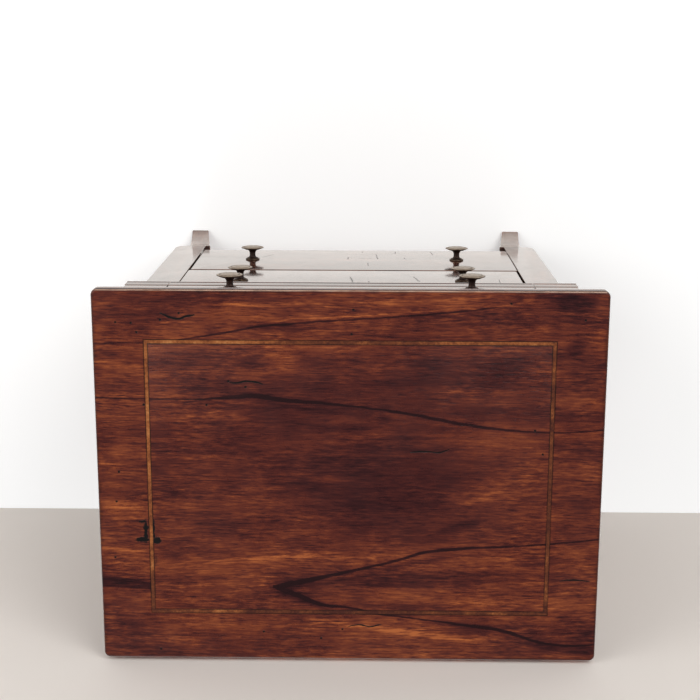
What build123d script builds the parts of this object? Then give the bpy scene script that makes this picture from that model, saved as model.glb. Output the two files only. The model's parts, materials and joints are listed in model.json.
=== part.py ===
from build123d import *
import os

# A miniature chest of drawers in millimetres. +Z is up, the fronts face -Y,
# and the origin is on the floor under the middle of the whole object.

# Overall sizes
top_width = 300.0
top_depth = 230.0
case_width = 268.0

# Heights, stacked from the floor up
foot_height = 22.0
skirt_height = 20.0
lower_opening_height = 84.0
lower_rail_thickness = 4.5
middle_opening_height = 77.3
upper_rail_thickness = 13.9
frieze_height = 45.3
top_thickness = 8.0

# Setbacks of the front planes behind the front edge of the top
frieze_setback = 5.6
post_setback = 14.0

# Case boards
side_thickness = 8.0
back_thickness = 5.0
back_rebate = 4.0
bottom_thickness = 5.0
housing_depth = 2.5
post_width = 21.75
post_depth = 14.0
post_corner_radius = 8.75
arris_radius = 0.8
case_edge_wall = 1.0
frieze_opening_width = 222.6
frieze_side_proud = 3.4
top_rail_thickness = 4.0
rail_tail_depth = 22.0
back_rail_depth = 25.0
base_rail_setback = 5.0
base_rail_height = 17.0

# Top board
top_corner_radius = 3.8
top_upper_ease = 1.6
top_lower_ease = 1.0
stringing_inset = 30.0
stringing_width = 2.2
stringing_depth = 1.0

# Cove moulding
cove_projection = 3.0
cove_height = 6.5
cove_lip = 1.2
cove_toe = 0.6
quarter_arc_rise = 1.0 - 0.5**0.5

# Runners, guides, stops and blocks
runner_width = 22.0
guide_height = 8.0
stop_length = 14.0
stop_depth = 5.0
stop_height = 2.4
stop_spread = 60.0
foot_block_width = 22.0
foot_block_depth = 20.0
top_block_size = 10.0
top_block_length = 34.0
top_block_gap = 13.6

# Feet
foot_width = 15.7
toe_width = 12.0
foot_outer_inset = 9.3
toe_reach = 8.8
toe_length = 11.8
foot_depth = 20.0
foot_sweep = 2.4
toe_round = 1.5
rear_foot_depth = 18.0
rear_toe_depth = 11.5

# Drawers
front_thickness = 9.0
drawer_side_thickness = 5.0
drawer_back_thickness = 4.5
drawer_back_drop = 1.5
drawer_bottom_thickness = 3.0
drawer_bottom_lift = 3.2
drawer_groove_depth = 1.5
drawer_box_depth = 200.0
front_corner_radius = 1.6
front_arris = 0.6
front_lap = 1.0
top_drawer_headroom = 1.2
top_drawer_side_gap = 0.5
recessed_drawer_side_gap = 0.9
recessed_drawer_shift = 0.5
dovetail_lap = 3.0
dovetail_pitch = 20.0
dovetail_pin = 2.5
dovetail_slope = 1.0 / 6.0

# Knobs, with their heights stacked from the drawer front outwards
knob_spacing = 144.6
knob_flange_radius = 4.9
knob_flange_height = 0.9
knob_ring_radius = 3.8
knob_ring_height = 0.6
knob_waist_radius = 2.05
knob_waist_length = 1.35
knob_flare_radius = 2.6
knob_dish_depth = 0.5
knob_rim_radius = 7.9
knob_rim_thickness = 0.6
knob_crown_rise = 1.2
shank_radius = 1.5
shank_tail = 3.4
nut_size = 6.2
nut_thickness = 2.4

# Screws and square-cut nails
screw_radius = 1.3
screw_head_radius = 2.6
screw_head_depth = 1.4
screw_bite = 4.0
screw_spread = 80.0
nail_width = 1.4
nail_head_size = 3.0
nail_head_depth = 0.6
nail_length = 12.0
nails_per_side = 4

# Clearances
run_gap = 0.3
box_headroom = 1.2
joint_gap = 0.05

# How far a cutting shape runs past the face that it opens
cut_past = 1.0

# Levels worked out from the stack of heights
z_case = foot_height
z_floor = z_case + skirt_height
z_lower_rail = z_floor + lower_opening_height
z_middle_floor = z_lower_rail + lower_rail_thickness
z_upper_rail = z_middle_floor + middle_opening_height
z_frieze = z_upper_rail + upper_rail_thickness
z_under_top = z_frieze + frieze_height
height = z_under_top + top_thickness
z_top_rail = z_under_top - top_rail_thickness

# Heights on a knob
z_ring_top = knob_flange_height + knob_ring_height
z_waist_low = z_ring_top + knob_ring_radius - knob_waist_radius
z_waist_high = z_waist_low + knob_waist_length
z_flare_end = z_waist_high + knob_flare_radius
z_rim_low = z_flare_end + knob_dish_depth
z_rim_high = z_rim_low + knob_rim_thickness
knob_height = z_rim_high + knob_crown_rise

# Planes from front to back
knob_overhang = max(knob_height - frieze_setback, 0.0)
y_back = (top_depth + knob_overhang) / 2
y_top_front = y_back - top_depth
y_frieze = y_top_front + frieze_setback
y_post = y_top_front + post_setback
y_side = y_post + post_depth
y_inner_back = y_back - back_thickness
y_rail_end = y_side + rail_tail_depth

# Distances from the middle to each side
x_case = case_width / 2
x_inner = x_case - side_thickness
x_opening = x_case - post_width
x_frieze_opening = frieze_opening_width / 2
x_frieze = x_case + frieze_side_proud
x_back_panel = x_case - back_rebate
x_foot_outer = x_case - foot_outer_inset
x_foot_inner = x_foot_outer - foot_width


def board(x0, x1, y0, y1, z0, z1):
    """A square-cut board between two corners."""
    block = Box(x1 - x0, y1 - y0, z1 - z0, align=Align.MIN)
    return Pos(x0, y0, z0) * block


def mirrored(solid):
    """The same piece on the other side of the chest."""
    return mirror(solid, about=Plane.YZ)


def prism_along_x(points, x0, x1):
    """A polygon of (y, z) points carried from x0 to x1."""
    face = make_face(Polyline(*[(x0, y, z) for y, z in points], close=True))
    return extrude(face, amount=x1 - x0, dir=(1, 0, 0))


def prism_along_z(points, z0, z1):
    """A polygon of (x, y) points carried from z0 to z1."""
    face = make_face(Polyline(*[(x, y, z0) for x, y in points], close=True))
    return extrude(face, amount=z1 - z0, dir=(0, 0, 1))


def prism_along_y(points, y0, y1):
    """A polygon of (x, z) points carried from y0 to y1."""
    face = make_face(Polyline(*[(x, y0, z) for x, z in points], close=True))
    return extrude(face, amount=y1 - y0, dir=(0, 1, 0))


def peg(x, y0, y1, z, radius):
    """A round bar along Y."""
    bar = Cylinder(radius, y1 - y0, align=(Align.CENTER, Align.CENTER, Align.MIN))
    return Pos(x, y0, z) * Rot(-90, 0, 0) * bar


def stringing_strip(side):
    """One mitred strip of the inlaid rectangle, as a solid let into the top."""
    x1 = top_width / 2 - stringing_inset
    x0 = x1 - stringing_width
    front_out = y_top_front + stringing_inset
    front_in = front_out + stringing_width
    back_out = y_back - stringing_inset
    back_in = back_out - stringing_width
    outlines = {
        "front": [(-x1, front_out), (x1, front_out), (x0, front_in), (-x0, front_in)],
        "back": [(-x1, back_out), (x1, back_out), (x0, back_in), (-x0, back_in)],
        "right": [(x1, front_out), (x1, back_out), (x0, back_in), (x0, front_in)],
        "left": [(-x1, front_out), (-x1, back_out), (-x0, back_in), (-x0, front_in)],
    }
    return prism_along_z(outlines[side], height - stringing_depth, height)


def screw_places():
    """Middle points of the four screws that hold the top."""
    front = (y_side + y_rail_end) / 2
    back = y_inner_back - back_rail_depth / 2
    return [(x, y) for y in (front, back) for x in (-screw_spread, screw_spread)]


def screw(x, y, grow=0.0):
    """A countersunk screw from the rail's underside up into the top."""
    tip = z_under_top + screw_bite + grow
    shaft = Cylinder(screw_radius + grow, tip - z_top_rail, align=(Align.CENTER, Align.CENTER, Align.MIN))
    head = Cone(
        screw_head_radius + grow,
        screw_radius + grow,
        screw_head_depth,
        align=(Align.CENTER, Align.CENTER, Align.MIN),
    )
    return Pos(x, y, z_top_rail) * (shaft + head)


def nail_places():
    """Heights of the nails up each side of the back panel."""
    span = z_under_top - z_floor
    step = span / nails_per_side
    return [z_floor + step * (i + 0.5) for i in range(nails_per_side)]


def square_bar(x, y0, y1, z, width):
    """A square bar along Y."""
    half = width / 2
    return board(x - half, x + half, y0, y1, z - half, z + half)


def nail(x, z, grow=0.0):
    """A square-cut nail driven forwards through the back panel into a side."""
    shaft = square_bar(x, y_back - nail_length - grow, y_back, z, nail_width + 2 * grow)
    head = square_bar(x, y_back - nail_head_depth, y_back, z, nail_head_size + 2 * grow)
    return shaft + head


def all_nails(grow=0.0):
    """Both rows of nails."""
    x = (x_inner + x_back_panel) / 2
    return [nail(side * x, z, grow) for side in (-1, 1) for z in nail_places()]


def top_board():
    """The inlaid top with rounded corners, eased edges and a groove for the stringing."""
    slab = board(-top_width / 2, top_width / 2, y_top_front, y_back, z_under_top, height)
    slab = fillet(slab.edges().filter_by(Axis.Z), top_corner_radius)
    slab = fillet(slab.faces().sort_by(Axis.Z)[-1].edges(), top_upper_ease)
    slab = fillet(slab.faces().sort_by(Axis.Z)[0].edges(), top_lower_ease)
    for side in ("front", "back", "left", "right"):
        slab -= stringing_strip(side)
    for x, y in screw_places():
        slab -= screw(x, y, joint_gap)
    return slab


def rail(half_opening, y_front, z0, z1):
    """A rail between the posts whose wider tail is housed in both sides."""
    x_tail = x_inner + housing_depth
    front = board(-half_opening, half_opening, y_front, y_side, z0, z1)
    tail = board(-x_tail, x_tail, y_side, y_rail_end, z0, z1)
    return front + tail


def top_rail_front():
    """The rail over the top drawer, set back behind the drawer front."""
    piece = rail(x_frieze_opening, y_frieze + front_thickness + run_gap, z_top_rail, z_under_top)
    for x, y in screw_places():
        piece -= screw(x, y, joint_gap)
    return piece


def top_rail_back():
    """The rail under the back of the top."""
    piece = board(-x_inner, x_inner, y_inner_back - back_rail_depth, y_inner_back, z_top_rail, z_under_top)
    for x, y in screw_places():
        piece -= screw(x, y, joint_gap)
    return piece


def upper_rail():
    """The deep rail under the top drawer."""
    return rail(x_opening, y_post, z_upper_rail, z_frieze)


def lower_rail():
    """The thin rail behind the meeting edges of the two recessed drawer fronts."""
    return rail(x_opening, y_post + front_thickness + run_gap, z_lower_rail, z_middle_floor)


def bottom_board():
    """The bottom, housed in both sides behind the base rail."""
    x_tail = x_inner + housing_depth
    return board(-x_tail, x_tail, y_side, y_inner_back, z_floor - bottom_thickness, z_floor)


def side_panel():
    """The right side, housed for the rails and bottom and rebated for the back."""
    panel = board(x_inner, x_case, y_side, y_back, z_case, z_under_top)
    low_edge = panel.edges().filter_by(Axis.Y).sort_by(lambda e: e.center().X - e.center().Z)[-1]
    panel = fillet(low_edge, min(post_corner_radius, side_thickness - case_edge_wall))
    panel -= board(x_inner, x_back_panel, y_inner_back, y_back, z_case + base_drop(), z_under_top)
    for piece in (top_rail_front(), upper_rail(), lower_rail(), bottom_board()):
        panel -= piece
    for piece in all_nails(joint_gap):
        panel -= piece
    return panel


def base_drop():
    """Height of the base rail's lower edge above the bottom of the case."""
    return skirt_height - base_rail_height


def base_rail():
    """The recessed rail under the lower drawer."""
    z0 = z_case + base_drop()
    return board(-x_opening, x_opening, y_post + base_rail_setback, y_side, z0, z_floor)


def back_panel():
    """The back, let into the rebates of the sides."""
    panel = board(-x_back_panel, x_back_panel, y_inner_back, y_back, z_case + base_drop(), z_under_top)
    for piece in all_nails(joint_gap):
        panel -= piece
    return panel


def front_post():
    """The right front post with its rounded lower corner."""
    post = board(x_opening, x_case, y_post, y_side, z_case, z_frieze)
    low_edge = post.edges().filter_by(Axis.Y).sort_by(lambda e: e.center().X - e.center().Z)[-1]
    post = fillet(low_edge, post_corner_radius)
    outline = post.faces().sort_by(Axis.Y)[0].edges()
    outer = [
        e
        for e in outline
        if e.center().X > x_opening + arris_radius and e.center().Z < z_frieze - arris_radius
    ]
    return fillet(outer, arris_radius)


def frieze_post():
    """The right frieze block, proud of the post below it."""
    block = board(x_frieze_opening, x_frieze, y_frieze, y_side, z_frieze, z_under_top)
    corner = block.edges().filter_by(Axis.Z).sort_by(lambda e: e.center().X - e.center().Y)[-1]
    return fillet(corner, arris_radius)


def frieze_return():
    """The right side's frieze strip."""
    return board(x_case, x_frieze, y_side, y_back, z_frieze, z_under_top)


def cove_outline():
    """The cove's outline as (projection, height) around its hollow."""
    top = z_frieze
    low = z_frieze - cove_height
    hollow_top = (cove_projection, top - cove_lip)
    hollow_end = (cove_toe, low)
    middle = (
        cove_toe + (cove_projection - cove_toe) * quarter_arc_rise,
        low + (cove_height - cove_lip) * (1 - quarter_arc_rise),
    )
    return top, low, hollow_top, middle, hollow_end


def cove_moulding(direction):
    """A length of cove, cut to its mitres. direction is front or right."""
    top, low, hollow_top, middle, hollow_end = cove_outline()
    x1 = x_case + cove_projection
    y0 = y_post - cove_projection
    if direction == "front":
        place = lambda p, z: (-x1, y_post - p, z)
        length, along = 2 * x1, (1, 0, 0)
        plan = [(-x_case, y_post), (-x1, y0), (x1, y0), (x_case, y_post)]
    else:
        place = lambda p, z: (x_case + p, y0, z)
        length, along = y_back - y0, (0, 1, 0)
        plan = [(x_case, y_post), (x1, y0), (x1, y_back), (x_case, y_back)]
    straight = Polyline(
        place(*hollow_end), place(0, low), place(0, top), place(cove_projection, top), place(*hollow_top)
    )
    hollow = ThreePointArc(place(*hollow_top), place(*middle), place(*hollow_end))
    run = extrude(make_face(straight + hollow), amount=length, dir=along)
    return run & prism_along_z(plan, low, top)


def runner(half_opening, z0, z1):
    """A right runner whose raised guide keeps the drawer above it straight."""
    x0 = x_inner - runner_width
    points = [
        (x0, z0),
        (x_inner, z0),
        (x_inner, z1 + guide_height),
        (half_opening, z1 + guide_height),
        (half_opening, z1),
        (x0, z1),
    ]
    return prism_along_y(points, y_rail_end, y_inner_back)


def bottom_guide():
    """The right guide strip on the bottom board."""
    return board(x_opening, x_inner, y_side, y_inner_back, z_floor, z_floor + guide_height)


def stop_pair(y_front_back, z):
    """Two small blocks that the back of a drawer front comes up against."""
    y0 = y_front_back + joint_gap
    pair = []
    for x in (-stop_spread, stop_spread):
        pair.append(board(x - stop_length / 2, x + stop_length / 2, y0, y0 + stop_depth, z, z + stop_height))
    return pair


def drawer_stops():
    """All six stops, on the two rails and the base rail."""
    recessed = y_post + front_thickness + run_gap
    upper = stop_pair(y_frieze + front_thickness, z_frieze)
    return upper + stop_pair(recessed, z_middle_floor) + stop_pair(recessed, z_floor)


def foot_taper(z1):
    """The foot's outline from the front: straight outside, tapering inside."""
    points = [
        (x_foot_inner, z1),
        (x_foot_outer, z1),
        (x_foot_outer, 0),
        (x_foot_outer - toe_width, 0),
    ]
    return prism_along_y(points, y_post - toe_reach, y_back)


def front_foot():
    """The right front foot, which sweeps forwards to its toe."""
    x0 = x_foot_inner
    y_toe = y_post - toe_reach
    y_heel = y_toe + toe_length
    y_rear = y_post + foot_depth
    front_mid = ((y_post + y_toe) / 2 + foot_sweep, (foot_height + toe_round) / 2 - foot_sweep / 2)
    rear_mid = ((y_heel + y_rear) / 2 + foot_sweep, foot_height / 2 - foot_sweep / 2)
    front = ThreePointArc((x0, y_post, foot_height), (x0, *front_mid), (x0, y_toe, toe_round))
    toe = Polyline((x0, y_toe, toe_round), (x0, y_toe + toe_round, 0), (x0, y_heel, 0))
    rear = ThreePointArc((x0, y_heel, 0), (x0, *rear_mid), (x0, y_rear, foot_height))
    top = Line((x0, y_rear, foot_height), (x0, y_post, foot_height))
    swept = extrude(make_face(front + toe + rear + top), amount=foot_width, dir=(1, 0, 0))
    return swept & foot_taper(foot_height)


def rear_foot():
    """The right rear foot, plain behind and tapered in front."""
    x0 = x_foot_inner
    y_top = y_back - rear_foot_depth
    y_low = y_back - rear_toe_depth
    middle = ((y_top + y_low) / 2 + foot_sweep / 2, foot_height / 2)
    straight = Polyline((x0, y_low, 0), (x0, y_back, 0), (x0, y_back, foot_height), (x0, y_top, foot_height))
    curve = ThreePointArc((x0, y_top, foot_height), (x0, *middle), (x0, y_low, 0))
    swept = extrude(make_face(straight + curve), amount=foot_width, dir=(1, 0, 0))
    return swept & foot_taper(foot_height)


def foot_blocks():
    """Glue blocks behind the posts and in the back corners, over the feet."""
    z1 = z_floor - bottom_thickness
    x0 = x_inner - foot_block_width
    front = board(x0, x_inner, y_side, y_side + foot_block_depth, z_case, z1)
    rear = board(x0, x_inner, y_inner_back - foot_block_depth, y_inner_back, z_case, z1)
    return [front, rear, mirrored(front), mirrored(rear)]


def top_blocks():
    """Three-cornered blocks between the top and the sides."""
    x0 = x_inner - top_block_size
    points = [(x0, z_under_top), (x_inner, z_under_top), (x_inner, z_under_top - top_block_size)]
    y_mid = (y_rail_end + y_inner_back - back_rail_depth) / 2
    blocks = []
    for y in (y_mid - top_block_gap / 2 - top_block_length, y_mid + top_block_gap / 2):
        block = prism_along_y(points, y, y + top_block_length)
        blocks += [block, mirrored(block)]
    return blocks


def tails(x0, x1, y_root, y_end, z0, z1, grow=0.0):
    """Dovetail tails along Y from y_root to y_end, spread evenly between two heights."""
    count = max(round((z1 - z0) / dovetail_pitch), 2)
    pitch = (z1 - z0) / count
    away = 1 if y_end > y_root else -1
    length = abs(y_end - y_root)
    wide = (pitch - dovetail_pin) / 2
    narrow = wide - length * dovetail_slope
    y_tip = y_end + away * grow
    pieces = []
    for i in range(count):
        z = z0 + pitch * (i + 0.5)
        points = [
            (y_root, z - narrow - grow),
            (y_tip, z - wide - grow),
            (y_tip, z + wide + grow),
            (y_root, z + narrow + grow),
        ]
        pieces.append(prism_along_x(points, x0 - grow, x1 + grow))
    return pieces


def quarter_arc(start, end, centre):
    """A quarter of a circle between two points of the (radius, -height) plane."""
    radius = abs(start[0] - end[0])
    away = [(start[i] + end[i]) / 2 - centre[i] for i in (0, 1)]
    reach = radius / (away[0] ** 2 + away[1] ** 2) ** 0.5
    middle = (centre[0] + away[0] * reach, centre[1] + away[1] * reach)
    return ThreePointArc(start, middle, end)


def knob():
    """A turned knob along -Y from the origin, with its shank behind."""
    shank_end = front_thickness + shank_tail
    ring_edge = (knob_ring_radius, -z_ring_top)
    waist_low = (knob_waist_radius, -z_waist_low)
    waist_high = (knob_waist_radius, -z_waist_high)
    flare_end = (knob_waist_radius + knob_flare_radius, -z_flare_end)
    foot = Polyline(
        (0, -knob_height),
        (0, shank_end),
        (shank_radius, shank_end),
        (shank_radius, 0),
        (knob_flange_radius, 0),
        (knob_flange_radius, -knob_flange_height),
        (knob_ring_radius, -knob_flange_height),
        ring_edge,
    )
    stem = quarter_arc(ring_edge, waist_low, (knob_ring_radius, -z_waist_low))
    waist = Line(waist_low, waist_high)
    flare = quarter_arc(waist_high, flare_end, (flare_end[0], -z_waist_high))
    dish = Polyline(flare_end, (knob_rim_radius, -z_rim_low), (knob_rim_radius, -z_rim_high))
    crown_radius = (knob_rim_radius**2 + knob_crown_rise**2) / (2 * knob_crown_rise)
    half_way = knob_rim_radius / 2
    crown_drop = crown_radius - (crown_radius**2 - half_way**2) ** 0.5
    crown = ThreePointArc(
        (knob_rim_radius, -z_rim_high), (half_way, crown_drop - knob_height), (0, -knob_height)
    )
    return revolve(make_face(foot + stem + waist + flare + dish + crown), axis=Axis.Y)


def nut(x, y, z):
    """A square nut on a knob's shank, inside the drawer front."""
    block = square_bar(x, y, y + nut_thickness, z, nut_size)
    return block - peg(x, y - cut_past, y + nut_thickness + cut_past, z, shank_radius + joint_gap)


def drawer(prefix, half_width, shift, y_front, front_low, front_high, box_low, box_high, corner):
    """All the pieces of one drawer, in place, as a dictionary of node names."""
    y_face = y_front + front_thickness
    y_lap = y_front + dovetail_lap
    y_end = y_face + drawer_box_depth
    y_back_face = y_end - drawer_back_thickness
    x0 = shift - half_width
    x1 = shift + half_width
    x_left = x0 + drawer_side_thickness
    x_right = x1 - drawer_side_thickness
    panel_low = box_low + drawer_bottom_lift
    panel_high = panel_low + drawer_bottom_thickness
    back_high = box_high - drawer_back_drop
    groove = drawer_groove_depth

    bottom = board(
        x_left - groove + joint_gap,
        x_right + groove - joint_gap,
        y_face - groove + joint_gap,
        y_end,
        panel_low,
        panel_high,
    )
    bottom_slot = board(x_left - groove, x_right + groove, y_face - groove, y_end, panel_low, panel_high)
    front_tails = dict(y_root=y_face, y_end=y_lap, z0=max(front_low, box_low), z1=min(front_high, box_high))
    back_tails = dict(y_root=y_back_face, y_end=y_end, z0=panel_high, z1=back_high)

    front = board(x0, x1, y_front, y_face, front_low, front_high)
    if corner > 0:
        front = fillet(front.edges().filter_by(Axis.Y), corner)
    front = fillet(front.faces().sort_by(Axis.Y)[0].edges(), front_arris)
    knob_x = (shift - knob_spacing / 2, shift + knob_spacing / 2)
    knob_z = (front_low + front_high) / 2
    for x in knob_x:
        front -= peg(x, y_front - cut_past, y_face + cut_past, knob_z, shank_radius + joint_gap)

    back = board(x0, x1, y_back_face, y_end, panel_high, back_high)
    sides = {}
    for name, outer, inner in (("left", x0, x_left), ("right", x1, x_right)):
        low_x, high_x = min(outer, inner), max(outer, inner)
        side = board(low_x, high_x, y_face, y_end, box_low, box_high)
        side -= board(low_x, high_x, y_back_face, y_end, panel_high, back_high)
        for tail in tails(low_x, high_x, **front_tails) + tails(low_x, high_x, **back_tails):
            side += tail
        side -= bottom_slot
        for socket in tails(low_x, high_x, **front_tails, grow=joint_gap):
            front -= socket
        for socket in tails(low_x, high_x, **back_tails, grow=joint_gap):
            back -= socket
        sides[name] = side
    front -= bottom_slot

    return {
        f"{prefix}_front": front,
        f"{prefix}_side_left": sides["left"],
        f"{prefix}_side_right": sides["right"],
        f"{prefix}_back": back,
        f"{prefix}_bottom": bottom,
        f"{prefix}_knob_left": Pos(knob_x[0], y_front, knob_z) * knob(),
        f"{prefix}_knob_right": Pos(knob_x[1], y_front, knob_z) * knob(),
        f"{prefix}_knob_nuts": [nut(x, y_face, knob_z) for x in knob_x],
    }


def drawers():
    """The three drawers: one in the frieze and two between the posts."""
    pieces = drawer(
        "top_drawer",
        x_frieze_opening - top_drawer_side_gap,
        0.0,
        y_frieze,
        z_frieze + run_gap,
        z_under_top - top_drawer_headroom,
        z_frieze + run_gap,
        z_top_rail - box_headroom,
        0.0,
    )
    half_width = x_opening - recessed_drawer_side_gap
    pieces |= drawer(
        "middle_drawer",
        half_width,
        recessed_drawer_shift,
        y_post,
        z_middle_floor - front_lap,
        z_upper_rail - run_gap,
        z_middle_floor + run_gap,
        z_upper_rail - box_headroom,
        front_corner_radius,
    )
    pieces |= drawer(
        "lower_drawer",
        half_width,
        -recessed_drawer_shift,
        y_post,
        z_floor + run_gap,
        z_lower_rail + front_lap,
        z_floor + run_gap,
        z_lower_rail - box_headroom,
        front_corner_radius,
    )
    return pieces


def case():
    """Every fixed piece of the chest."""
    pieces = {"top_board": top_board()}
    for side in ("front", "back", "left", "right"):
        pieces[f"stringing_{side}"] = stringing_strip(side)
    pairs = {
        "side_panel": side_panel(),
        "front_post": front_post(),
        "frieze_post": frieze_post(),
        "frieze_return": frieze_return(),
        "cove_moulding": cove_moulding("right"),
        "upper_runner": runner(x_frieze_opening, z_upper_rail, z_frieze),
        "lower_runner": runner(x_opening, z_lower_rail, z_middle_floor),
        "front_foot": front_foot(),
        "rear_foot": rear_foot(),
    }
    for name, piece in pairs.items():
        pieces[f"{name}_right"] = piece
        pieces[f"{name}_left"] = mirrored(piece)
    pieces["cove_moulding_front"] = cove_moulding("front")
    pieces["top_rail_front"] = top_rail_front()
    pieces["top_rail_back"] = top_rail_back()
    pieces["upper_rail"] = upper_rail()
    pieces["lower_rail"] = lower_rail()
    pieces["bottom_board"] = bottom_board()
    pieces["base_rail"] = base_rail()
    pieces["back_panel"] = back_panel()
    pieces["bottom_guides"] = [bottom_guide(), mirrored(bottom_guide())]
    pieces["drawer_stops"] = drawer_stops()
    pieces["glue_blocks"] = foot_blocks() + top_blocks()
    pieces["top_screws"] = [screw(x, y) for x, y in screw_places()]
    pieces["back_nails"] = all_nails()
    return pieces


def save(name, piece):
    """Writes one node, a single solid or a group of separate ones."""
    shapes = piece if isinstance(piece, list) else [piece]
    solids = [s for shape in shapes for s in shape.solids()]
    node = solids[0] if len(solids) == 1 else Compound(children=solids)
    node.label = name
    export_step(node, os.path.join("parts", f"{name}.step"))


os.makedirs("parts", exist_ok=True)
for node_name, node_piece in (case() | drawers()).items():
    save(node_name, node_piece)
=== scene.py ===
import json
import math

import bmesh
import bpy
import numpy as np
from mathutils import Matrix, Vector

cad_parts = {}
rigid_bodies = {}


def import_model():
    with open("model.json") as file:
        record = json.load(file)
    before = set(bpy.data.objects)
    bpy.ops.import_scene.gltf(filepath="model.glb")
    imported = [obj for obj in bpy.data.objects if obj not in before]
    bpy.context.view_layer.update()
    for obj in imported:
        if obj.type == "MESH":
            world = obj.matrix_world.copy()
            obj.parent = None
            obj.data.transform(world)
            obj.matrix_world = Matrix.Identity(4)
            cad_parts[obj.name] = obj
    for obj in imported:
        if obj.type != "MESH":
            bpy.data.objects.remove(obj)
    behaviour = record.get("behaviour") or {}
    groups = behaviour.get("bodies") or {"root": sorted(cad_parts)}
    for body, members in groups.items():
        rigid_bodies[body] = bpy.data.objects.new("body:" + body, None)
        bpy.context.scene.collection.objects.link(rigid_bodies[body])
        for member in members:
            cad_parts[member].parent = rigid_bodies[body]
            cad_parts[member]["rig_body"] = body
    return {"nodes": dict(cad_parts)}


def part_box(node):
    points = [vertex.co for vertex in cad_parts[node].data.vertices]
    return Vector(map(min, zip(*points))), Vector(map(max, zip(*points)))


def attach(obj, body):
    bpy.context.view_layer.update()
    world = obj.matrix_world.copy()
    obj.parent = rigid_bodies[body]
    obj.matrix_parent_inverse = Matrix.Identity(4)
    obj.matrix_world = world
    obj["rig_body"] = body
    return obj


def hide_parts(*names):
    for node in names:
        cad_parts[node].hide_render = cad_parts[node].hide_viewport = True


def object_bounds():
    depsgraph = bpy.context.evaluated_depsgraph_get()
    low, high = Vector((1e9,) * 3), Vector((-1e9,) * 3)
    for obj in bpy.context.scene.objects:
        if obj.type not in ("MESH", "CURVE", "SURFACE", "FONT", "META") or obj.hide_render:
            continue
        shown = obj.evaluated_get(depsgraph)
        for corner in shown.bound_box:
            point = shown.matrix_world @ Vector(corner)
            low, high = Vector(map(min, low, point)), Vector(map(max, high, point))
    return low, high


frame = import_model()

cad_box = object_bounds()

# A miniature chest of drawers: rosewood-brown boards with a worn polish, boxwood
# stringing in the top, pale raw wood inside and aged brass knobs.
MM = 0.001

top_low, top_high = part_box("top_board")
TOP_LENGTH = top_high.x - top_low.x
TOP_DEPTH = top_high.y - top_low.y

SIDES = ("left", "right")
STRING_RUNS = ("front", "back", *SIDES)
string_boxes = [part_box(f"stringing_{side}") for side in STRING_RUNS]
STRING_LOW = [min(box[0][i] for box in string_boxes) for i in range(2)]
STRING_HIGH = [max(box[1][i] for box in string_boxes) for i in range(2)]
STRING_WIDTH = string_boxes[0][1].y - string_boxes[0][0].y

# Camera, as the photograph was taken: above the chest, a little in front of it.
# The place is in metres, the angles in radians, the lens and the sensor in millimetres.
CAMERA_PLACE = (-0.01086, -0.26175, 1.0645)
CAMERA_TILT = 0.22905
CAMERA_ROLL = 0.00264
CAMERA_TURN = 0.0136
CAMERA_LENS = 71.8
SENSOR_WIDTH = 36.0

# Bevels on the arrises of finished boards and hardware, of raw wood, and of the feet
FINE_ARRIS = 0.12 * MM
SOFT_ARRIS = 0.3 * MM
ROUND_ARRIS = 1.8 * MM
SHARP_ANGLE = math.radians(32)

# Linear colours: each wood from its darkest vein to its palest streak, and brass from
# its rubbed rims to its black hollows
TOP_TONES = [
    (0.0, (0.022, 0.0080, 0.0090)),
    (0.22, (0.045, 0.0120, 0.0130)),
    (0.42, (0.088, 0.0200, 0.0160)),
    (0.58, (0.148, 0.0325, 0.0185)),
    (0.76, (0.245, 0.0600, 0.0235)),
    (1.0, (0.450, 0.1250, 0.0370)),
]
CASE_TONES = [
    (0.0, (0.018, 0.008, 0.008)),
    (0.30, (0.050, 0.0165, 0.0130)),
    (0.55, (0.105, 0.0330, 0.0210)),
    (0.80, (0.185, 0.0640, 0.0330)),
    (1.0, (0.290, 0.1100, 0.0520)),
]
INNER_TONES = [
    (0.0, (0.165, 0.075, 0.037)),
    (0.35, (0.330, 0.168, 0.086)),
    (0.65, (0.475, 0.265, 0.142)),
    (1.0, (0.620, 0.385, 0.230)),
]
BACK_TONES = [
    (0.0, (0.070, 0.035, 0.020)),
    (0.40, (0.168, 0.078, 0.040)),
    (0.70, (0.265, 0.130, 0.066)),
    (1.0, (0.380, 0.215, 0.117)),
]
BRASS_TONES = [
    (0.0, (0.430, 0.350, 0.265)),
    (0.35, (0.215, 0.160, 0.110)),
    (0.7, (0.060, 0.032, 0.022)),
    (1.0, (0.022, 0.012, 0.010)),
]
STRING_TONES = [
    (0.0, (0.075, 0.020, 0.013)),
    (0.40, (0.165, 0.046, 0.017)),
    (0.70, (0.330, 0.104, 0.030)),
    (1.0, (0.480, 0.190, 0.062)),
]
WORN = (0.230, 0.095, 0.045)
GRIME = (0.012, 0.007, 0.006)
# The veins' colour, also used for the painted dark reflection on the top's front edge
VEIN_AND_DARK_REFLECTION = (0.024, 0.0095, 0.0110)
HOLLOW = (0.006, 0.004, 0.004)
DUST = (0.480, 0.395, 0.345)
# A painted highlight along the top's front arris
PAINTED_ARRIS_HIGHLIGHT = (0.620, 0.420, 0.310)
RAW_GRIME = (0.060, 0.033, 0.018)
BARE_IRON = (0.060, 0.055, 0.052)
RUST = (0.190, 0.075, 0.030)

# Roughness of the polish on the drawers, which mirror their knobs, on the case and on the top
MIRROR_GLOSS = 0.08
CASE_GLOSS = 0.16
TOP_GLOSS = 0.16

# Where the polish begins to show and where it shows fully: 0 is face on, 1 is edge on
CASE_COAT = (0.55, 0.82)
TOP_COAT = (0.55, 0.85)
DUSTY_COAT = (0.05, 0.40)

# The ways in which a board's own axes are turned so that its grain runs along the first
GRAIN_ORDER = {"x": (0, 1, 2), "y": (1, 0, 2), "z": (2, 1, 0)}

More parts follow.
